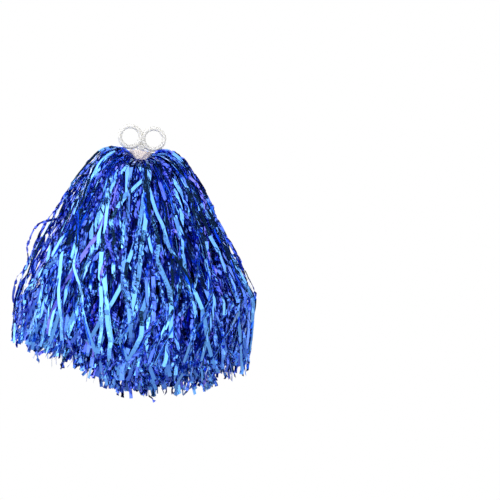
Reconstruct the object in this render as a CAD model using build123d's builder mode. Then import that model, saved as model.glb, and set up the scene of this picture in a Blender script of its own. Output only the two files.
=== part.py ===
from build123d import *
import math
import os

# A cheerleading pom pom: foil streamers tied round the stem of a twin finger ring.
# The origin is midway between the two finger rings. +X runs from the left ring to the
# right ring, +Y through the rings from front to back, and the streamers hang along -Z.

# Finger handle, one plastic moulding
ring_inner_radius = 9.0
ring_wall = 4.5
ring_depth = 7.0
ring_rounding = 1.6
ring_overlap = 0.6
web_thickness = 3.0
web_top = -2.0
web_top_width = 2.0
web_bottom = -12.0
web_bottom_width = 16.0
stem_width = 8.0
stem_thickness = 4.0
stem_top = -9.0
anchor_width = 18.0
anchor_size = 5.0
anchor_centre = -36.0
anchor_rounding = 1.5

# Neck, where the middle of every foil sheet is gathered and tied
neck_top = -14.4
neck_bottom = -25.0
gather_radius = 10.2
gather_bottom = -27.5
stem_gap = 0.2
tie_gap = 0.1
tie_radius = 11.4
tie_width = 4.0
tie_centre = -19.6
tie_rounding = 0.6
tie_head_size = 5.0
tie_head_reach = 14.6
tie_head_angle = 120.0
tape_inner_radius = 11.7
tape_radius = 12.4
tape_gap = 0.8
tape_bump_wall = 0.8

# Streamers: each fan is one bundle of cut foil strips that hangs to one side
fan_count = 6
first_outer_angle = 30.0
first_inner_angle = 0.0
outer_fan_clearance = 7.0
inner_fan_clearance = 0.6
streamer_reach = 266.0
fan_depth = 320.0
outer_names = ["back_right", "back", "back_left", "front_left", "front", "front_right"]
inner_names = ["right", "back_right", "back_left", "left", "front_left", "front_right"]

# Sections of the fans, as distance from the middle and height
outer_outside = [(18, -20), (33, -18), (51, -24), (72, -47), (99, -90), (120, -136), (130, -182)]
outer_inside = [(121, -184), (110, -140), (89, -97), (62, -57), (45, -37), (31, -29)]
outer_edge = (133.0, 123.0)
outer_root = (20, -27)
inner_outside = [(15, -31), (28, -43), (46, -70), (66, -110), (84, -156), (93, -200)]
inner_inside = [(84, -203), (75, -160), (58, -116), (38, -78), (22, -53)]
inner_edge = (96.0, 87.0)
inner_root = (12, -36)
core_outside = [(6, -43), (12, -62), (22, -104), (31, -160), (35, -220)]
core_edge = 36.0
core_top = -40.0

os.makedirs("parts", exist_ok=True)


def write_part(builder, name):
    builder.part.label = name
    export_step(builder.part, f"parts/{name}.step")


def tip_height(radius):
    """Height at which a streamer ends, when its tip is this far from the middle."""
    return neck_top - math.sqrt(streamer_reach**2 - radius**2)


# Finger handle: two rings joined side by side, a web below them, a stem and an anchor bar
ring_centre = ring_inner_radius + ring_wall - ring_overlap / 2

with BuildPart() as finger_handle:
    for side in (-1, 1):
        section_x = side * (ring_centre + ring_inner_radius + ring_wall / 2)
        with BuildSketch(Plane.XY) as ring_section:
            with Locations((section_x, 0)):
                RectangleRounded(ring_wall, ring_depth, ring_rounding)
        revolve(axis=Axis((side * ring_centre, 0, 0), (0, 1, 0)))
    with BuildSketch(Plane.XZ) as web_outline:
        with BuildLine() as web_edge:
            Polyline(
                (-web_top_width / 2, web_top),
                (web_top_width / 2, web_top),
                (web_bottom_width / 2, web_bottom),
                (-web_bottom_width / 2, web_bottom),
                close=True,
            )
        make_face()
    extrude(amount=web_thickness / 2, both=True)
    stem_length = stem_top - anchor_centre
    with Locations((0, 0, stem_top - stem_length / 2)):
        Box(stem_width, stem_thickness, stem_length)
    with Locations((0, 0, anchor_centre)):
        Box(anchor_width, anchor_size, anchor_size)
    anchor_edges = finger_handle.edges().group_by(Axis.Z)[0]
    fillet(anchor_edges, radius=anchor_rounding)
write_part(finger_handle, "finger_handle")

# Gathered foil: the tightly bunched middle of the sheets, all round the stem
with BuildPart() as gathered_foil:
    with BuildSketch(Plane.XY.offset(gather_bottom)) as gather_outline:
        Circle(gather_radius)
        Rectangle(stem_width + 2 * stem_gap, stem_thickness + 2 * stem_gap, mode=Mode.SUBTRACT)
    extrude(amount=neck_top - gather_bottom)
write_part(gathered_foil, "gathered_foil")

# Binding tie: a cable tie pulled tight round the gathered foil, its head between two fans
head_place = Plane.XY.rotated((0, 0, tie_head_angle)).location
head_length = tie_head_reach - gather_radius
head_middle = (tie_head_reach + gather_radius) / 2

with BuildPart() as binding_tie:
    with BuildSketch(Plane.XY.offset(tie_centre - tie_width / 2)) as strap_outline:
        Circle(tie_radius)
    extrude(amount=tie_width)
    with Locations(head_place):
        with Locations((head_middle, 0, tie_centre)):
            Box(head_length, tie_head_size, tie_head_size)
    fillet(binding_tie.edges().filter_by(Axis.Z), radius=tie_rounding)
    with Locations((0, 0, tie_centre)):
        Cylinder(gather_radius + tie_gap, tie_width + tie_head_size, mode=Mode.SUBTRACT)
write_part(binding_tie, "binding_tie")

# Neck tape: clear tape wound over the tie, with a bump over the tie's head
pocket_size = tie_head_size + 2 * tape_gap
pocket_length = head_length + 2 * tape_gap
bump_size = pocket_size + 2 * tape_bump_wall
bump_reach = head_middle + pocket_length / 2 + tape_bump_wall
neck_height = neck_top - neck_bottom

with BuildPart() as neck_tape:
    with BuildSketch(Plane.XY.offset(neck_bottom)) as tape_outline:
        Circle(tape_radius)
    extrude(amount=neck_height)
    with Locations(head_place):
        with Locations((bump_reach / 2, 0, tie_centre)):
            Box(bump_reach, bump_size, bump_size)
        with Locations((head_middle, 0, tie_centre)):
            Box(pocket_length, pocket_size, pocket_size, mode=Mode.SUBTRACT)
    with Locations((0, 0, (neck_top + neck_bottom) / 2)):
        Cylinder(tape_inner_radius, 2 * neck_height, mode=Mode.SUBTRACT)
write_part(neck_tape, "neck_tape")


def wedge_corners(angle, clearance):
    """Plan-view corners of a fan's wedge, whose sides stay this far inside its sixth of the circle."""
    half_wedge = math.pi / fan_count
    apex = clearance / math.sin(half_wedge)
    middle = math.radians(angle)
    corners = [(apex * math.cos(middle), apex * math.sin(middle))]
    for side in (-1, 1):
        slant = middle + side * half_wedge
        far_x = corners[0][0] + 2 * streamer_reach * math.cos(slant)
        far_y = corners[0][1] + 2 * streamer_reach * math.sin(slant)
        corners.append((far_x, far_y))
    return corners


def streamer_fan(outside, inside, edge, root, angle, clearance):
    """One fan: its section turned round the vertical axis, then cut down to its wedge."""
    outer_tip = (edge[0], tip_height(edge[0]))
    inner_tip = (edge[1], tip_height(edge[1]))
    with BuildPart() as fan:
        with BuildSketch(Plane.XZ) as section:
            with BuildLine() as section_edge:
                Spline(*outside, outer_tip)
                Line(outer_tip, inner_tip)
                Spline(inner_tip, *inside, root)
                Line(root, outside[0])
            make_face()
        revolve(axis=Axis.Z)
        with BuildSketch(Plane.XY.offset(-fan_depth)) as wedge:
            Polygon(*wedge_corners(angle, clearance), align=None)
        extrude(amount=fan_depth, mode=Mode.INTERSECT)
    return fan


# Outer streamer fans: they arch over the neck and fall on the outside
for number, name in enumerate(outer_names):
    fan_angle = first_outer_angle + number * 360 / fan_count
    outer_fan = streamer_fan(
        outer_outside, outer_inside, outer_edge, outer_root, fan_angle, outer_fan_clearance
    )
    write_part(outer_fan, f"outer_streamers_{name}")

# Inner streamer fans: they hang closer to the middle, behind the outer ones
for number, name in enumerate(inner_names):
    fan_angle = first_inner_angle + number * 360 / fan_count
    inner_fan = streamer_fan(
        inner_outside, inner_inside, inner_edge, inner_root, fan_angle, inner_fan_clearance
    )
    write_part(inner_fan, f"inner_streamers_{name}")

# Core streamers: the middle strips, which hang straight down under the anchor bar
core_tip = (core_edge, tip_height(core_edge))
core_bottom = (0, tip_height(0))

with BuildPart() as core_streamers:
    with BuildSketch(Plane.XZ) as core_section:
        with BuildLine() as core_line:
            Spline(*core_outside, core_tip)
            Line(core_tip, core_bottom)
            Line(core_bottom, (0, core_top))
            Line((0, core_top), core_outside[0])
        make_face()
    revolve(axis=Axis.Z)
write_part(core_streamers, "core_streamers")
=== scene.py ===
import math

import bmesh
import bpy
import numpy as np
from mathutils import Euler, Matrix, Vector


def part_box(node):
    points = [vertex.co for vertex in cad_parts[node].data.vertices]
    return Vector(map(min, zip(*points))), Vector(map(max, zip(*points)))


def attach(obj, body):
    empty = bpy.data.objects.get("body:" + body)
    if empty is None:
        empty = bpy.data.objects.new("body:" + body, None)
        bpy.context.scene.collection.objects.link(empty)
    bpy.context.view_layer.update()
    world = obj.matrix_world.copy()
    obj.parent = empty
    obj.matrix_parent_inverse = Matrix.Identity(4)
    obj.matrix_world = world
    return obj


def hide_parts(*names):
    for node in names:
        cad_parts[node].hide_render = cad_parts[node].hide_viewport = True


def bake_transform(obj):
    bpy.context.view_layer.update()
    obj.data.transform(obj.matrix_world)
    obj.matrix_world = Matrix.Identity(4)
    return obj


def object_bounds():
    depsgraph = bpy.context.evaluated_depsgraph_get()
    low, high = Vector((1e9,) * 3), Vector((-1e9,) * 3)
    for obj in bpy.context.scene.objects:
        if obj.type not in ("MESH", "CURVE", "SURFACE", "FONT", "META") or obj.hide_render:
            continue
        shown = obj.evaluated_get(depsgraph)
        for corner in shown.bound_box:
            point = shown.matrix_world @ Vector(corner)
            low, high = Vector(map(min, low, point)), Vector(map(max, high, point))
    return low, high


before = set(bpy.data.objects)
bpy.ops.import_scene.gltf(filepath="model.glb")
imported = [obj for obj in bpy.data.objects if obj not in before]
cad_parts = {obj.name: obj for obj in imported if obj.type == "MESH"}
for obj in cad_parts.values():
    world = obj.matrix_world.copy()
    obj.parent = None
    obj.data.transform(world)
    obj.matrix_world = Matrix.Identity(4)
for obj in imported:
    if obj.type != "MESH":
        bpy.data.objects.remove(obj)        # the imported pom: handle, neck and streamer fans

cadLow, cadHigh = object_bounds()
coreBody = "handle_and_core"
neckLow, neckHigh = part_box("neck_tape")
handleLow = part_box("finger_handle")[0]
gatherLow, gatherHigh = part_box("gathered_foil")
tieLow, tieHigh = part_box("binding_tie")
neckMiddle = (neckLow.z + neckHigh.z) / 2
degree = math.pi / 180


def deselectAll():
    bpy.ops.object.select_all(action="DESELECT")


def makeActive(piece):
    deselectAll()
    piece.select_set(True)
    bpy.context.view_layer.objects.active = piece


def applyPlace(piece):
    makeActive(piece)
    bpy.ops.object.transform_apply(location=True, rotation=True, scale=True)


def applyModifiers(piece):
    makeActive(piece)
    for modifier in list(piece.modifiers):
        bpy.ops.object.modifier_apply(modifier=modifier.name)


def joinPieces(name, pieces):
    deselectAll()
    for piece in pieces:
        piece.select_set(True)
    bpy.context.view_layer.objects.active = pieces[0]
    bpy.ops.object.join()
    pieces[0].name = name
    return pieces[0]


def addMaterial(name):
    material = bpy.data.materials.new(name)
    material.use_nodes = True
    nodes = material.node_tree.nodes
    return material, nodes, material.node_tree.links, nodes["Principled BSDF"]


def addNode(nodes, kind, **values):
    node = nodes.new(kind)
    for key, value in values.items():
        if hasattr(node, key):
            setattr(node, key, value)
        else:
            node.inputs[key.replace("_", " ")].default_value = value
    return node


# noise on this source, spread to run between two values
def addNoiseRange(nodes, links, source, scale, low, high):
    noise = addNode(nodes, "ShaderNodeTexNoise", Scale=scale, Detail=4.0)
    links.new(source, noise.inputs["Vector"])
    spread = addNode(nodes, "ShaderNodeMapRange")
    for key, value in {"From Min": 0.3, "From Max": 0.7, "To Min": low, "To Max": high}.items():
        spread.inputs[key].default_value = value
    links.new(noise.outputs["Fac"], spread.inputs["Value"])
    return spread.outputs["Result"]


def addBump(nodes, links, shader, height, strength, distance):
    bump = addNode(nodes, "ShaderNodeBump", Strength=strength, Distance=distance)
    links.new(height, bump.inputs["Height"])
    links.new(bump.outputs["Normal"], shader.inputs["Normal"])


# the mottled colour of a moulded or wound piece
def addMottle(nodes, links, shader, source, scale, first, second):
    noise = addNode(nodes, "ShaderNodeTexNoise", Scale=scale, Detail=5.0)
    links.new(source, noise.inputs["Vector"])
    mix = addNode(nodes, "ShaderNodeMix", data_type="RGBA")
    mix.inputs["A"].default_value = (*first, 1.0)
    mix.inputs["B"].default_value = (*second, 1.0)
    links.new(noise.outputs["Fac"], mix.inputs["Factor"])
    links.new(mix.outputs["Result"], shader.inputs["Base Color"])


# blue foil

blueFoil = {
    "tones": [(0.0, (0.024, 0.024, 0.42)), (0.4, (0.040, 0.110, 0.64)),
              (0.78, (0.10, 0.33, 0.82)), (0.95, (0.11, 0.34, 0.84)),
              (1.0, (0.11, 0.12, 0.74))],
    "streaks": 90.0,           # patches per metre of strip
    "creases": 420.0,
    "creasing": 0.22,
    "roughness": (0.06, 0.17),
    "coat": 0.5,
    "metallic": 0.96,
}


def makeBlueFoil():
    material, nodes, links, shader = addMaterial("blueFoil")
    shader.inputs["Metallic"].default_value = blueFoil["metallic"]
    shader.inputs["Coat Weight"].default_value = blueFoil["coat"]
    shader.inputs["Coat Roughness"].default_value = 0.07
    place = addNode(nodes, "ShaderNodeUVMap", uv_map="strip")
    tone = addNode(nodes, "ShaderNodeAttribute", attribute_name="tone")
    streak = addNode(nodes, "ShaderNodeTexNoise", Scale=blueFoil["streaks"], Detail=3.0)
    links.new(place.outputs["UV"], streak.inputs["Vector"])
    mixed = addNode(nodes, "ShaderNodeMath", operation="MULTIPLY_ADD")
    mixed.inputs[1].default_value = 0.25
    links.new(streak.outputs["Fac"], mixed.inputs[0])
    links.new(tone.outputs["Fac"], mixed.inputs[2])
    ramp = addNode(nodes, "ShaderNodeValToRGB")
    while len(ramp.color_ramp.elements) < len(blueFoil["tones"]):
        ramp.color_ramp.elements.new(0.5)
    for element, (position, colour) in zip(ramp.color_ramp.elements, blueFoil["tones"]):
        element.position = position
        element.color = (*colour, 1.0)
    links.new(mixed.outputs[0], ramp.inputs["Fac"])
    links.new(ramp.outputs["Color"], shader.inputs["Base Color"])
    dull = addNoiseRange(nodes, links, place.outputs["UV"], 160.0, *blueFoil["roughness"])
    links.new(dull, shader.inputs["Roughness"])
    crease = addNode(nodes, "ShaderNodeTexNoise", Scale=blueFoil["creases"], Detail=2.0)
    links.new(place.outputs["UV"], crease.inputs["Vector"])
    addBump(nodes, links, shader, crease.outputs["Fac"], blueFoil["creasing"], 0.0005)
    return material


foil = makeBlueFoil()


# finger handle

handle = {
    "ringSpacing": 0.0132,     # from the middle to each ring's centre
    "ringRadius": 0.0117,
    "wall": 0.0051,
    "depth": 0.007,
    "stemWidth": 0.0078,
    "stemThickness": 0.0038,
    "barSize": 0.0048,
    "barLength": 0.0178,
    "stemIntoWeb": 0.005,      # past the top of the tape
    "stemEdge": 0.0005,
    "webWidth": 0.016,
    "webThickness": 0.0034,
    "webTop": -0.002,
    "webAboveTape": 0.0022,
    "webEdge": 0.0009,
    "webTopShare": (0.2, 0.8, 1),
    "voxel": 0.0004,
    "smoothing": 14,
    "colours": ((0.56, 0.552, 0.53), (0.64, 0.63, 0.605)),
    "roughness": (0.34, 0.48),
    "sheen": 0.22,
    "milkiness": 1.0,
}


def makeRingPlastic():
    material, nodes, links, shader = addMaterial("ringPlastic")
    shader.inputs["IOR"].default_value = 1.46
    shader.inputs["Specular IOR Level"].default_value = handle["sheen"]
    shader.inputs["Subsurface Weight"].default_value = handle["milkiness"]
    shader.inputs["Subsurface Radius"].default_value = (0.010, 0.010, 0.0095)
    shader.inputs["Subsurface Scale"].default_value = 1.0
    place = addNode(nodes, "ShaderNodeTexCoord").outputs["Object"]
    addMottle(nodes, links, shader, place, 90.0, *handle["colours"])
    dull = addNoiseRange(nodes, links, place, 400.0, *handle["roughness"])
    links.new(dull, shader.inputs["Roughness"])
    split = addNode(nodes, "ShaderNodeSeparateXYZ")
    links.new(place, split.inputs[0])
    offLine = addNode(nodes, "ShaderNodeMath", operation="ABSOLUTE")
    links.new(split.outputs["Y"], offLine.inputs[0])
    seam = addNode(nodes, "ShaderNodeMapRange", clamp=True)      # the mould's parting line
    for key, value in {"From Min": 0.0, "From Max": 0.00022, "To Min": 1.0, "To Max": 0.0}.items():
        seam.inputs[key].default_value = value
    links.new(offLine.outputs[0], seam.inputs["Value"])
    ripple = addNode(nodes, "ShaderNodeTexNoise", Scale=260.0, Detail=3.0)
    links.new(place, ripple.inputs["Vector"])
    height = addNode(nodes, "ShaderNodeMath", operation="MULTIPLY_ADD")
    height.inputs[1].default_value = 0.35
    links.new(ripple.outputs["Fac"], height.inputs[0])
    links.new(seam.outputs["Result"], height.inputs[2])
    addBump(nodes, links, shader, height.outputs[0], 0.35, 0.0003)
    return material


def makeHandle():
    parts = []
    for side in (-1, 1):
        deselectAll()
        bpy.ops.mesh.primitive_torus_add(
            major_radius=handle["ringRadius"], minor_radius=handle["wall"] / 2,
            major_segments=96, minor_segments=24,
            location=(side * handle["ringSpacing"], 0, 0), rotation=(math.pi / 2, 0, 0),
        )
        ring = bpy.context.active_object
        ring.scale = (1, 1, handle["depth"] / handle["wall"])
        applyPlace(ring)
        parts.append(ring)

    # web between the rings, drawn in at the top
    webTop, webBottom = handle["webTop"], neckHigh.z + handle["webAboveTape"]
    deselectAll()
    bpy.ops.mesh.primitive_cube_add(size=1, location=(0, 0, (webTop + webBottom) / 2))
    web = bpy.context.active_object
    web.scale = (handle["webWidth"], handle["webThickness"], webTop - webBottom)
    applyPlace(web)
    bpy.ops.object.mode_set(mode="EDIT")
    bpy.ops.mesh.select_all(action="DESELECT")
    shape = bmesh.from_edit_mesh(web.data)
    for face in shape.faces:
        face.select_set(face.normal.z > 0.9)
    bmesh.update_edit_mesh(web.data)
    bpy.ops.transform.resize(value=handle["webTopShare"])
    bpy.ops.mesh.select_all(action="SELECT")
    bpy.ops.mesh.bevel(offset=handle["webEdge"], segments=3)
    bpy.ops.object.mode_set(mode="OBJECT")
    parts.append(web)

    # stem, then its anchor bar drawn out of the two sides of its foot
    foot = handleLow.z + handle["barSize"]
    stemTop = neckHigh.z + handle["stemIntoWeb"]
    deselectAll()
    bpy.ops.mesh.primitive_cube_add(size=1, location=(0, 0, (stemTop + foot) / 2))
    stem = bpy.context.active_object
    stem.scale = (handle["stemWidth"], handle["stemThickness"], stemTop - foot)
    applyPlace(stem)
    bpy.ops.object.mode_set(mode="EDIT")
    bpy.ops.mesh.select_all(action="DESELECT")
    shape = bmesh.from_edit_mesh(stem.data)
    for face in shape.faces:
        face.select_set(face.normal.z < -0.9)
    bmesh.update_edit_mesh(stem.data)
    bpy.ops.mesh.extrude_region_move(
        TRANSFORM_OT_translate={"value": (0, 0, -handle["barSize"])})
    bpy.ops.mesh.select_all(action="DESELECT")
    shape = bmesh.from_edit_mesh(stem.data)
    for face in shape.faces:
        face.select_set(abs(face.normal.x) > 0.9 and face.calc_center_median().z < foot)
    bmesh.update_edit_mesh(stem.data)
    reachOut = (handle["barLength"] - handle["stemWidth"]) / 2
    bpy.ops.mesh.extrude_region_shrink_fatten(
        TRANSFORM_OT_shrink_fatten={"value": reachOut})
    bpy.ops.mesh.select_all(action="SELECT")
    bpy.ops.mesh.bevel(offset=handle["stemEdge"], segments=2)
    bpy.ops.object.mode_set(mode="OBJECT")
    parts.append(stem)

    piece = joinPieces("fingerHandle", parts)
    weld = piece.modifiers.new("weld", "REMESH")
    weld.mode = "VOXEL"
    weld.voxel_size = handle["voxel"]
    weld.use_smooth_shade = True
    soften = piece.modifiers.new("soften", "SMOOTH")
    soften.factor = 0.5
    soften.iterations = handle["smoothing"]
    applyModifiers(piece)
    piece.data.materials.clear()
    piece.data.materials.append(makeRingPlastic())
    makeActive(piece)
    bpy.ops.object.shade_smooth()
    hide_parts("finger_handle")
    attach(piece, coreBody)
    print("finger handle", len(piece.data.polygons), "faces")


makeHandle()


# gathered foil, bunched in pleats round the stem

gather = {
    "seed": 8,
    "pleats": 42,
    "columns": 336,
    "depth": 0.0011,
    "outside": 0.01008,
    "stemGap": 0.0003,
    "crown": 0.0012,
    "ruffle": 0.00007,
}


# a mesh of closed loops of points, joined last to first, with foil's tone and map
def buildFolds(name, loops, tones):
    count, columns = len(loops), len(loops[0])
    faces, corners = [], []
    for j in range(count):
        after = (j + 1) % count
        for i in range(columns):
            beside = (i + 1) % columns
            faces.append((j * columns + i, j * columns + beside,
                          after * columns + beside, after * columns + i))
            u, v = i * 0.0002, j * 0.0011
            corners += [(u, v), (u + 0.0002, v), (u + 0.0002, v + 0.0011), (u, v + 0.0011)]
    mesh = bpy.data.meshes.new(name)
    mesh.from_pydata(np.concatenate(loops).tolist(), [], faces)
    layer = mesh.uv_layers.new(name="strip")
    layer.data.foreach_set("uv", np.array(corners, np.float32).ravel())
    attribute = mesh.attributes.new("tone", "FLOAT", "POINT")
    attribute.data.foreach_set("value", np.tile(tones, count).astype(np.float32))
    piece = bpy.data.objects.new(name, mesh)
    bpy.context.scene.collection.objects.link(piece)
    piece.data.materials.append(foil)
    return piece


def makeGather():
    rng = np.random.default_rng(gather["seed"])
    columns = gather["columns"]
    turn = np.linspace(0, 2 * math.pi, columns, endpoint=False)
    phase = gather["pleats"] / 2 * turn + 0.9 * np.sin(3 * turn) + 0.6 * np.sin(5 * turn + 1)
    fold = np.abs(np.sin(phase))
    halfWidth = handle["stemWidth"] / 2 + gather["stemGap"]
    halfThick = handle["stemThickness"] / 2 + gather["stemGap"]
    hole = np.minimum(halfWidth / np.maximum(np.abs(np.cos(turn)), 1e-6),
                      halfThick / np.maximum(np.abs(np.sin(turn)), 1e-6))
    outside = gather["outside"] - gather["depth"] * (1 - fold)
    low, high = gatherLow.z, gatherHigh.z
    loops = []

    def addLoop(radius, height):
        loops.append(np.stack([radius * np.cos(turn), radius * np.sin(turn), height], axis=1))

    flatHeight = np.zeros(columns)
    addLoop(outside * 0.9, flatHeight + low)
    for height in np.linspace(low + 0.0008, high - 0.0012, 9):
        addLoop(outside + rng.normal(0, gather["ruffle"], columns), flatHeight + height)
    for share in (0.93, 0.8, 0.65, 0.5, 0.35, 0.2, 0.08):
        radius = hole + (outside - hole) * share
        rise = gather["crown"] * fold * math.sin(math.pi * share)
        rise = rise + rng.normal(0, 0.00008, columns)
        addLoop(radius, high - 0.0008 + rise)
    addLoop(hole, flatHeight + high - 0.0016)
    addLoop(hole, flatHeight + low + 0.0008)
    pleat = (phase // math.pi).astype(int) % gather["pleats"]
    tones = 0.1 + 0.5 * rng.random(gather["pleats"])[pleat]
    piece = buildFolds("gatheredFoil", loops, tones)
    makeActive(piece)
    bpy.ops.object.mode_set(mode="EDIT")
    bpy.ops.mesh.select_all(action="SELECT")
    bpy.ops.mesh.normals_make_consistent(inside=False)
    bpy.ops.object.mode_set(mode="OBJECT")
    bpy.ops.object.shade_smooth_by_angle(angle=35 * degree)
    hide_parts("gathered_foil")
    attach(piece, coreBody)
    print("gathered foil", len(piece.data.polygons), "faces")


makeGather()


# binding tie, mostly hidden under the tape

bindingTie = {
    "colours": ((0.74, 0.74, 0.70), (0.84, 0.84, 0.81)),
    "roughness": (0.35, 0.55),
}


def makeTiePlastic():
    material, nodes, links, shader = addMaterial("tiePlastic")
    place = addNode(nodes, "ShaderNodeTexCoord").outputs["Object"]
    addMottle(nodes, links, shader, place, 300.0, *bindingTie["colours"])
    dull = addNoiseRange(nodes, links, place, 700.0, *bindingTie["roughness"])
    links.new(dull, shader.inputs["Roughness"])
    grain = addNode(nodes, "ShaderNodeTexNoise", Scale=2500.0, Detail=2.0)
    links.new(place, grain.inputs["Vector"])
    addBump(nodes, links, shader, grain.outputs["Fac"], 0.2, 0.0002)
    return material


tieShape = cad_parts["binding_tie"]
tieShape.data.materials.clear()
tieShape.data.materials.append(makeTiePlastic())


# neck tape

tape = {
    "seed": 5,
    "turns": 1.12,
    "columns": 300,
    "rows": 26,
    "thickness": 0.00018,
    "firstRadius": 0.01185,
    "lastRadius": 0.0122,
    "pleats": 0.00042,
    "crumple": 0.00022,
    "waver": 0.0004,           # of the top and bottom edges
    "bumpTurn": 120.0,         # over the tie's head
    "bumpHeight": 0.0036,
    "bumpSpread": 17.0,
    "bumpHalfHeight": 0.0047,
    "drawnIn": 0.0005,         # at the top and bottom
    "firstTurn": 40.0,
    "colours": ((0.66, 0.54, 0.49), (0.88, 0.81, 0.77)),
    "roughness": (0.12, 0.34),
}


def makeClearTape():
    material, nodes, links, shader = addMaterial("clearTape")
    shader.inputs["Coat Weight"].default_value = 0.4
    shader.inputs["Coat Roughness"].default_value = 0.08
    shader.inputs["Transmission Weight"].default_value = 0.12
    shader.inputs["IOR"].default_value = 1.47
    place = addNode(nodes, "ShaderNodeTexCoord").outputs["Object"]
    addMottle(nodes, links, shader, place, 420.0, *tape["colours"])
    dull = addNoiseRange(nodes, links, place, 500.0, *tape["roughness"])
    links.new(dull, shader.inputs["Roughness"])
    stretch = addNode(nodes, "ShaderNodeMapping")
    stretch.inputs["Scale"].default_value = (1.0, 1.0, 0.3)
    links.new(place, stretch.inputs["Vector"])
    crease = addNode(nodes, "ShaderNodeTexNoise", Scale=900.0, Detail=4.0, Roughness=0.6)
    links.new(stretch.outputs["Vector"], crease.inputs["Vector"])
    addBump(nodes, links, shader, crease.outputs["Fac"], 0.5, 0.0004)
    return material


def makeTape():
    rng = np.random.default_rng(tape["seed"])
    columns, rows = tape["columns"], tape["rows"]
    turn = np.linspace(0, tape["turns"] * 2 * math.pi, columns)
    turn = turn + tape["firstTurn"] * degree
    high = np.linspace(neckLow.z + 0.0003, neckHigh.z - 0.0001, rows)
    around, up = np.meshgrid(turn, high)
    growth = tape["lastRadius"] - tape["firstRadius"]
    radius = tape["firstRadius"] + growth * np.linspace(0, 1, columns)
    radius = np.repeat(radius[None, :], rows, axis=0)
    for part in range(9):
        waves = rng.integers(7, 34)
        slant = rng.normal(0, 90)
        depth = tape["pleats"] * rng.uniform(0.4, 1.0) * 9 / (waves + 9)
        radius += depth * np.sin(waves * around + slant * (up - neckMiddle) * 6 + rng.uniform(0, 6))
    radius += rng.normal(0, tape["crumple"] * 0.4, radius.shape)
    off = (around / degree - tape["bumpTurn"] + 180) % 360 - 180
    above = up - (tieLow.z + tieHigh.z) / 2
    dome = np.exp(-(off / tape["bumpSpread"]) ** 4)
    dome *= np.exp(-(above / tape["bumpHalfHeight"]) ** 4)
    radius += tape["bumpHeight"] * dome
    ends = (up - neckMiddle) / ((neckHigh.z - neckLow.z) / 2)
    radius -= tape["drawnIn"] * np.abs(ends) ** 6
    waver = np.sin(3 * around + 1.0) + 0.6 * np.sin(7 * around + 2.0) + 0.4 * np.sin(17 * around)
    up = up + tape["waver"] * waver * np.abs(ends) ** 3
    points = np.stack([radius * np.cos(around), radius * np.sin(around), up], axis=-1)
    faces = []
    for j in range(rows - 1):
        for i in range(columns - 1):
            a = j * columns + i
            faces.append((a, a + 1, a + columns + 1, a + columns))
    mesh = bpy.data.meshes.new("neckTape")
    mesh.from_pydata(points.reshape(-1, 3).tolist(), [], faces)
    piece = bpy.data.objects.new("neckTape", mesh)
    bpy.context.scene.collection.objects.link(piece)
    piece.data.materials.append(makeClearTape())
    wall = piece.modifiers.new("wall", "SOLIDIFY")
    wall.thickness = tape["thickness"]
    wall.offset = 0.0
    applyModifiers(piece)
    bpy.ops.object.shade_smooth_by_angle(angle=50 * degree)
    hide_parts("neck_tape")
    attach(piece, coreBody)
    print("neck tape", len(piece.data.polygons), "faces")


makeTape()


# streamers

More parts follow.
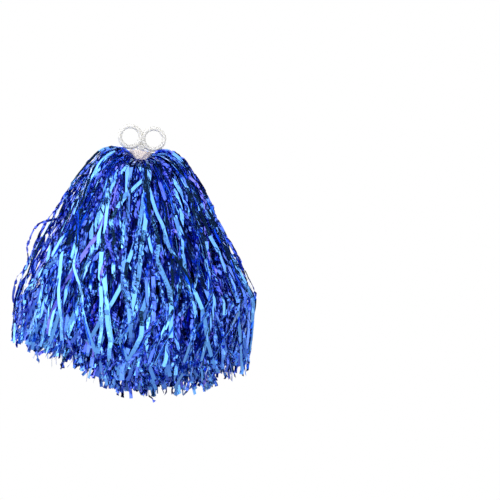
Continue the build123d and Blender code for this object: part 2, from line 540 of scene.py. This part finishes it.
streamer = {
    "seed": 43,
    "width": 0.0041,
    "thickness": 0.0002,
    "reach": 0.268,            # from the neck to the tips
    "reachLessLeft": 0.018,
    "reachLessRight": 0.003,
    # down the outermost strips at the sides and back: distance from the middle and depth
    # below the rings, as shares of the frame's half width and of its depth
    "sideOutline": [
        (0.09, 0.093), (0.16, 0.049), (0.23, 0.047), (0.31, 0.062), (0.49, 0.16),
        (0.69, 0.335), (0.91, 0.54), (1.0, 0.66), (1.015, 0.80), (0.99, 1.07),
    ],
    # and down those at the front, which leave the tape in view
    "frontOutline": [
        (0.09, 0.093), (0.25, 0.118), (0.40, 0.18), (0.59, 0.30), (0.81, 0.475),
        (0.94, 0.635), (0.98, 0.76), (0.96, 1.07),
    ],
    "innermost": [(0.02, 0.093), (0.03, 0.54), (0.045, 1.18)],
    "plumbShift": 0.015,       # the neck is held a little tilted, and the tips hang plumb
    "plumbFrom": -0.01,        # height where that starts
    "plumbOver": 0.16,
    "plumbMost": 1.06,
    "plumbPower": 1.3,
    "overhang": 0.0125,        # past the frame's box
    "shoulder": 0.045,         # along the strip, where it starts to hang
    "settleLength": 0.028,     # held by the neck over this much
    "sideRoom": 0.004,         # past the outline
    "strayRoom": 0.012,
    "tapeRoom": 0.0014,
    "outerPerFan": 172,
    "loosePerFan": 10,         # of those, on top of the rest
    "innerPerFan": 92,
    "coreCount": 90,
    "outerLayers": (0.62, 1.0),
    "innerLayers": (0.22, 0.66),
    "coreLayers": (0.0, 0.25),
    "flatShare": 0.34,
    "curledShare": 0.34,       # the rest is crumpled
    "strayShare": 0.05,
    "shortShare": 0.10,
    "reachSpread": 0.046,
    "layerSpread": 0.05,
    "looseLayer": 1.015,
    "lockStrips": 6,
    "lockTurn": 5.0,
    "lockSway": 0.14,
    "lockReach": 0.022,        # from lock to lock
    "plumbShare": 0.55,
    "plumbSize": (0.15, 0.62),
    "backLift": 0.3,
    "liftSpread": (0.6, 1.1),
    "shortReach": (0.75, 0.95),
    "crumpledKink": 1.5,
    "smoothKink": 0.8,
    "strayKink": 2.0,
    "strayFrom": 1.8,
    "kinkSpacing": 0.030,
    "kink": 11.0,
    "sway": 0.42,
    "swayPower": 2.3,
    "looseSway": 1.7,
    "memory": 0.055,           # along the strip, how soon it comes back to its own line
    "crush": 0.00052,
    "tipPaintedLight": 0.14,        # painted highlight: tone gained down to the tip, lighter towards the tips for the light on the lower strips
    "violetShare": 0.02,
    "violetTone": 0.92,
    # flat strips get a lighter tone than curled and crumpled ones: painted highlight on the flat strips
    # and painted shade on the others, for the light each kind reflects
    "flatPaintedHighlightTone": 0.46,
    "otherPaintedShadeTone": 0.20,
    "toneSpread": 0.17,
    "toneMost": 0.66,
    # painted highlight: the loose strips on top get a lighter tone, for the light that falls on them
    "loosePaintedHighlightTone": (0.52, 0.66),
    "leanAside": 4.0,          # degrees
    "leftOver": 12.0,
    "rightOver": 28.0,
    # two distances from the middle, and a drop
    "bendFrom": 0.010,
    "bendTo": 0.062,
    "bendDrop": 0.030,
}
neckPlace = np.array([0, 0, neckMiddle])

# each kind of strip: first turn, spacing and size of its twists, crush, width, segments
stripKinds = {
    "flat": (12, 0.045, 17, 0.10, 1.08, 48),
    "curled": (30, 0.020, 46, 0.30, 1.0, 60),
    "crumpled": (50, 0.008, 54, 1.0, 0.9, 92),
}


# points down a smooth curve through these places
def smoothCurve(places, count=160):
    places = np.array(places) * (cadHigh.x, cadLow.z)
    steps = np.linalg.norm(np.diff(places, axis=0), axis=1)
    run = np.concatenate([[0], np.cumsum(steps)])
    slopes = np.gradient(places, run, axis=0)
    even = np.linspace(0, run[-1], count)
    part = np.clip(np.searchsorted(run, even, side="right") - 1, 0, len(steps) - 1)
    share = ((even - run[part]) / steps[part])[:, None]
    size = steps[part][:, None]
    start = places[part] * (1 + 2 * share) * (1 - share) ** 2
    end = places[part + 1] * share**2 * (3 - 2 * share)
    turning = slopes[part] * (1 - share) - slopes[part + 1] * share
    return start + end + size * share * (1 - share) * turning


sideCurve = smoothCurve(streamer["sideOutline"])
frontCurve = smoothCurve(streamer["frontOutline"])
coreCurve = smoothCurve(streamer["innermost"])


# sudden changes of direction, as a creased strip has
def kinkNoise(rng, along, spacing, size):
    places = np.cumsum(rng.uniform(0.4, 1.6, 60)) * spacing
    return rng.normal(0, size, 61)[np.searchsorted(places, along)]


# points down one strip that lies in this layer, from the core at 0 to the outside at 1;
# lift is 1 for the side outline and 0 for the front one, and plumb hangs it straight
def streamerLine(rng, turn, layer, lift, plumb, sway, kink):
    outline = frontCurve + (sideCurve - frontCurve) * lift
    path = coreCurve + (outline - coreCurve) * layer
    steps = np.linalg.norm(np.diff(path, axis=0), axis=1)
    along = np.concatenate([[0], np.cumsum(steps)])
    step = along[-1] / (len(along) - 1)
    # a strip wanders more towards its tip, and not at all where the neck holds it
    settled = np.clip(along / streamer["settleLength"], 0, 1)
    memory = np.exp(-along / streamer["memory"])
    wander = []
    for share in (1.0, 1.2):
        slope = kinkNoise(rng, along, streamer["kinkSpacing"], kink * share * degree)
        slope *= settled * (0.6 + 1.0 * (along / along[-1]) ** 1.5)
        wander.append(np.convolve(slope, memory)[:len(along)] * step)
    power = streamer["swayPower"]
    wander[1] += sway * along[-1] * (along / along[-1]) ** power / power
    ahead = np.gradient(path, axis=0)
    ahead /= np.linalg.norm(ahead, axis=1)[:, None]
    distance = path[:, 0] - ahead[:, 1] * wander[0]
    height = path[:, 1] + ahead[:, 0] * wander[0]
    # over the shoulder some strips hang straight down instead of fanning out
    crest = np.interp(streamer["shoulder"], along, distance)
    straight = np.clip(crest * math.cos(turn) / np.maximum(distance, 0.001), -1, 1)
    straight = np.copysign(np.arccos(straight), math.sin(turn))
    settle = plumb * np.clip((along - streamer["shoulder"]) / 0.02, 0, 1)
    whole = (turn + math.pi) % (2 * math.pi) - math.pi
    heading = whole + (straight - whole) * settle
    line = np.stack([
        distance * np.cos(heading) - wander[1] * np.sin(heading),
        distance * np.sin(heading) + wander[1] * np.cos(heading),
        height,
    ], axis=1)
    spread = np.hypot(line[:, 0], line[:, 1])
    stray = kink > streamer["strayFrom"] * streamer["kink"]
    most = outline[:, 0] + streamer["strayRoom" if stray else "sideRoom"]
    line[:, :2] *= np.minimum(1, most / np.maximum(spread, 0.001))[:, None]
    # lean the whole to plumb, and draw that side in to the overhang
    lean = (streamer["plumbFrom"] - height) / streamer["plumbOver"]
    lean = np.clip(lean, 0, streamer["plumbMost"])
    shift = streamer["plumbShift"] * lean ** streamer["plumbPower"]
    drawn = np.minimum(1, (cadHigh.x + streamer["overhang"] - shift) / most)
    line[:, 0] = np.where(line[:, 0] > 0, line[:, 0] * drawn, line[:, 0]) + shift
    return line, along


# cut a strip's line off at its tip, space its points evenly, and keep it outside the tape;
# its edges may still go a little way in
def trimLine(line, along, reach, segments):
    aside = np.arctan2(line[:, 0], neckMiddle - line[:, 2]) / degree - streamer["leanAside"]
    less = streamer["reachLessLeft"] * np.clip(-aside / streamer["leftOver"], 0, 1)
    less += streamer["reachLessRight"] * np.clip(aside / streamer["rightOver"], 0, 1) ** 1.5
    limit = reach - less
    far = np.linalg.norm(line - neckPlace, axis=1) > limit
    last = along[np.argmax(far)] if far.any() else along[-1]
    even = np.linspace(0, last, segments + 1)
    line = np.stack([np.interp(even, along, line[:, k]) for k in range(3)], axis=1)
    clear = tape["lastRadius"] + streamer["tapeRoom"]
    out = np.linalg.norm(line[:, :2], axis=1)
    near = (line[:, 2] > neckLow.z - 0.001) & (out < clear)
    line[near, :2] *= (clear / np.maximum(out[near], 0.001))[:, None]
    return line, even


# three points across the strip at each place along it: an edge, a crease and an edge
def streamerRows(rng, line, along, turn, kind):
    firstTurn, spacing, twistSize, crushShare, widthShare, _ = stripKinds[kind]
    step = np.gradient(line, axis=0)
    step /= np.linalg.norm(step, axis=1)[:, None]
    sideways = np.array([-math.sin(turn), math.cos(turn), 0.0])
    flat = np.cross(step, sideways)
    flat /= np.linalg.norm(flat, axis=1)[:, None]
    across = np.cross(flat, step)
    twist = rng.normal(0, firstTurn) + kinkNoise(rng, along, spacing, twistSize)
    twist = twist * degree
    width = np.cos(twist)[:, None] * across + np.sin(twist)[:, None] * flat
    normal = np.cross(width, step)
    crush = streamer["crush"] * crushShare * rng.uniform(0.6, 1.4)
    folded = np.clip(0.5 + along / 0.016, 0, 1)[:, None]
    half = streamer["width"] / 2 * rng.uniform(0.85, 1.1) * widthShare * folded
    rows = []
    for side in (-1, 0, 1):
        bumps = rng.normal(0, crush, len(along))
        rows.append(line + width * half * side + normal * bumps[:, None])
    return np.stack(rows, axis=1)


# one mesh of many strips, each given as rows of three points with its tone
def buildStrips(name, strips):
    points, faces, corners, tones = [], [], [], []
    first = 0
    for number, (rows, along, tone) in enumerate(strips):
        points.append(rows.reshape(-1, 3))
        # painted highlight: each strip's tone is made lighter towards its tip
        late = (along / along[-1]) ** 2
        tones += np.repeat(tone + streamer["tipPaintedLight"] * late, 3).tolist()
        for i in range(len(rows) - 1):
            for j in (0, 1):
                a = first + i * 3 + j
                faces.append((a, a + 1, a + 4, a + 3))
                u = number * 0.02 + j * streamer["width"] / 2
                uNext = u + streamer["width"] / 2
                corners += [(u, along[i]), (uNext, along[i])]
                corners += [(uNext, along[i + 1]), (u, along[i + 1])]
        first += len(rows) * 3
    mesh = bpy.data.meshes.new(name)
    mesh.from_pydata(np.concatenate(points).tolist(), [], faces)
    layer = mesh.uv_layers.new(name="strip")
    layer.data.foreach_set("uv", np.array(corners, np.float32).ravel())
    attribute = mesh.attributes.new("tone", "FLOAT", "POINT")
    attribute.data.foreach_set("value", np.array(tones, np.float32))
    piece = bpy.data.objects.new(name, mesh)
    bpy.context.scene.collection.objects.link(piece)
    piece.data.materials.append(foil)
    wall = piece.modifiers.new("wall", "SOLIDIFY")
    wall.thickness = streamer["thickness"]
    wall.offset = 0.0
    applyModifiers(piece)
    return piece


def pickTone(rng, kind):
    if rng.random() < streamer["violetShare"]:
        return streamer["violetTone"]
    # painted highlight and shade: flat strips centre on a lighter tone than curled and crumpled ones
    middle = streamer["flatPaintedHighlightTone" if kind == "flat" else "otherPaintedShadeTone"]
    return float(np.clip(rng.normal(middle, streamer["toneSpread"]), 0, streamer["toneMost"]))


def makeFan(name, count, turnRange, layers, seed, looseCount=0):
    rng = np.random.default_rng(seed)
    strips, cutArea = [], 0.0
    locks = max(1, count // streamer["lockStrips"])
    lockTurn = rng.uniform(*turnRange, locks)
    lockLayer = np.sqrt(rng.uniform(layers[0] ** 2, layers[1] ** 2, locks))
    lockSway = rng.normal(0, streamer["lockSway"], locks)
    reachRng = np.random.default_rng(seed + 5000)
    lockReach = reachRng.normal(0, streamer["lockReach"], locks)
    for number in range(count):
        loose = number < looseCount        # lies on top of the rest and shows most of its length
        lock = number % locks
        turn = (lockTurn[lock] + rng.normal(0, streamer["lockTurn"])) * degree
        layer = lockLayer[lock] + rng.normal(0, streamer["layerSpread"])
        layer = float(np.clip(layer, 0.0, 1.0))
        if loose:
            turn = rng.uniform(*turnRange) * degree
            layer = streamer["looseLayer"]
        if math.sin(turn) < 0:
            lift = abs(math.cos(turn)) ** 0.9
        else:
            lift = streamer["backLift"] + (1 - streamer["backLift"]) * abs(math.cos(turn))
        lift *= rng.uniform(*streamer["liftSpread"])
        reach = streamer["reach"] * (1.012 - abs(rng.normal(0, streamer["reachSpread"])))
        reach *= 1 + np.clip(lockReach[lock], -0.04, 0.02)
        if rng.random() < streamer["shortShare"]:
            reach *= rng.uniform(*streamer["shortReach"])
        sway = lockSway[lock] + rng.normal(0, streamer["sway"] * (streamer["looseSway"] if loose else 1.0))
        pick = rng.random()
        kind = "crumpled"
        if loose or pick < streamer["flatShare"]:
            kind = "flat"
        elif pick < streamer["flatShare"] + streamer["curledShare"]:
            kind = "curled"
        kink = streamer["kink"]
        kink *= streamer["crumpledKink" if kind == "crumpled" else "smoothKink"]
        if not loose and rng.random() < streamer["strayShare"]:
            kink *= streamer["strayKink"]
        plumb = rng.uniform(*streamer["plumbSize"]) if rng.random() < streamer["plumbShare"] else 0.0
        line, along = streamerLine(rng, turn, layer, lift, plumb, sway, kink)
        line, along = trimLine(line, along, reach, stripKinds[kind][5])
        rows = streamerRows(rng, line, along, turn, kind)
        # painted highlight: a loose strip on top takes a lighter tone
        tone = rng.uniform(*streamer["loosePaintedHighlightTone"]) if loose else pickTone(rng, kind)
        strips.append((rows, along, tone))
        cutArea += along[-1] * streamer["width"] * stripKinds[kind][4]
    piece = buildStrips(name, strips)
    return piece


fanTurns = {"back_right": 30, "back": 90, "back_left": 150,
            "front_left": 210, "front": 270, "front_right": 330}
for place, middle in fanTurns.items():
    piece = makeFan(
        f"outerFan_{place}", streamer["outerPerFan"], (middle - 30, middle + 30),
        streamer["outerLayers"], streamer["seed"] + middle, streamer["loosePerFan"],
    )
    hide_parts(f"outer_streamers_{place}")
    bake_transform(piece)
    print("outer fan", place, len(piece.data.polygons), "faces")

innerTurns = {"right": 0, "back_right": 60, "back_left": 120,
              "left": 180, "front_left": 240, "front_right": 300}
for place, middle in innerTurns.items():
    piece = makeFan(
        f"innerFan_{place}", streamer["innerPerFan"], (middle - 30, middle + 30),
        streamer["innerLayers"], streamer["seed"] + 1000 + middle,
    )
    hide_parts(f"inner_streamers_{place}")
    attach(piece, coreBody)
    print("inner fan", place, len(piece.data.polygons), "faces")

piece = makeFan("coreStreamers", streamer["coreCount"], (0, 360),
                streamer["coreLayers"], streamer["seed"] + 2000)
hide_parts("core_streamers")
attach(piece, coreBody)
print("core streamers done")


# stage

studio = {
    "floorDrop": 0.03,
    "lens": 200.0,
    "framedWidth": 0.5625,
    "aimAside": 0.1340,
    "aimHeight": -0.1128,
    "elevation": 2.0,
    "roll": 6.0,
    "backdrop": (1.0, 1.0, 1.0),
    "surroundings": (0.010, 0.012, 0.022),
    # place, width and height, watts
    "softboxes": {
        "keyLight": ((-1.25, -1.6, 0.25), (1.6, 1.6), 27),
        "cameraLight": ((0.1, -3.9, 0.15), (3.0, 2.6), 58),
        "highLight": ((-0.35, -1.7, 1.75), (1.7, 1.3), 9),
        "frontLight": ((1.25, -1.5, 0.1), (1.3, 1.4), 12),
        "leftLight": ((-1.8, 0.2, 0.3), (1.4, 1.5), 20),
        "rightLight": ((1.8, 0.2, 0.2), (1.0, 1.5), 9),
        "topLight": ((0.0, -0.2, 1.5), (1.6, 1.6), 19),
        "backLight": ((-0.2, 1.8, 0.4), (2.0, 1.4), 20),
    },
}


def makeWorld():
    world = bpy.data.worlds.new("studio")
    bpy.context.scene.world = world
    world.use_nodes = True
    nodes, links = world.node_tree.nodes, world.node_tree.links
    background = nodes["Background"]
    background.inputs["Color"].default_value = (*studio["surroundings"], 1.0)
    seen = addNode(nodes, "ShaderNodeBackground")
    seen.inputs["Color"].default_value = (*studio["backdrop"], 1.0)
    seen.inputs["Strength"].default_value = 1.0
    rays = addNode(nodes, "ShaderNodeLightPath")
    choose = addNode(nodes, "ShaderNodeMixShader")
    links.new(rays.outputs["Is Camera Ray"], choose.inputs["Fac"])
    links.new(background.outputs[0], choose.inputs[1])
    links.new(seen.outputs[0], choose.inputs[2])
    links.new(choose.outputs[0], nodes["World Output"].inputs["Surface"])


def addSoftbox(name, place, size, power):
    deselectAll()
    bpy.ops.object.light_add(type="AREA", location=place)
    light = bpy.context.active_object
    light.name = name
    light.data.shape = "RECTANGLE"
    light.data.size, light.data.size_y = size
    light.data.energy = power
    towards = Vector((0, 0, -0.14)) - Vector(place)
    light.rotation_euler = towards.to_track_quat("-Z", "Y").to_euler()


def makeFloor():
    deselectAll()
    bpy.ops.mesh.primitive_plane_add(size=60, location=(0, 0, cadLow.z - studio["floorDrop"]))
    floor = bpy.context.active_object
    floor.name = "floor"
    material, nodes, links, shader = addMaterial("paleFloor")
    shader.inputs["Base Color"].default_value = (0.8, 0.8, 0.8, 1)
    shader.inputs["Roughness"].default_value = 0.9
    pale = addNode(nodes, "ShaderNodeEmission", Strength=1.0)
    rays = addNode(nodes, "ShaderNodeLightPath")
    choose = addNode(nodes, "ShaderNodeMixShader")
    links.new(rays.outputs["Is Camera Ray"], choose.inputs["Fac"])
    links.new(shader.outputs[0], choose.inputs[1])
    links.new(pale.outputs[0], choose.inputs[2])
    links.new(choose.outputs[0], nodes["Material Output"].inputs["Surface"])
    floor.data.materials.append(material)


makeWorld()
makeFloor()
for name, (place, size, power) in studio["softboxes"].items():
    addSoftbox(name, place, size, power)

bpy.ops.object.camera_add()
camera = bpy.context.active_object
camera.name = "camera"
camera.data.lens = studio["lens"]
distance = studio["framedWidth"] * studio["lens"] / camera.data.sensor_width
tip = studio["elevation"] * degree
aim = Vector((studio["aimAside"], 0, studio["aimHeight"]))
stand = Vector((0, -distance * math.cos(tip), -0.14 + distance * math.sin(tip)))
camera.location = stand
look = (aim - stand).to_track_quat("-Z", "Y")
camera.rotation_mode = "QUATERNION"
camera.rotation_quaternion = look @ Euler((0, 0, studio["roll"] * degree)).to_quaternion()
camera.data.clip_start, camera.data.clip_end = 0.05, 100
bpy.context.scene.camera = camera
bpy.context.scene.view_settings.view_transform = "Standard"
print("stage done")
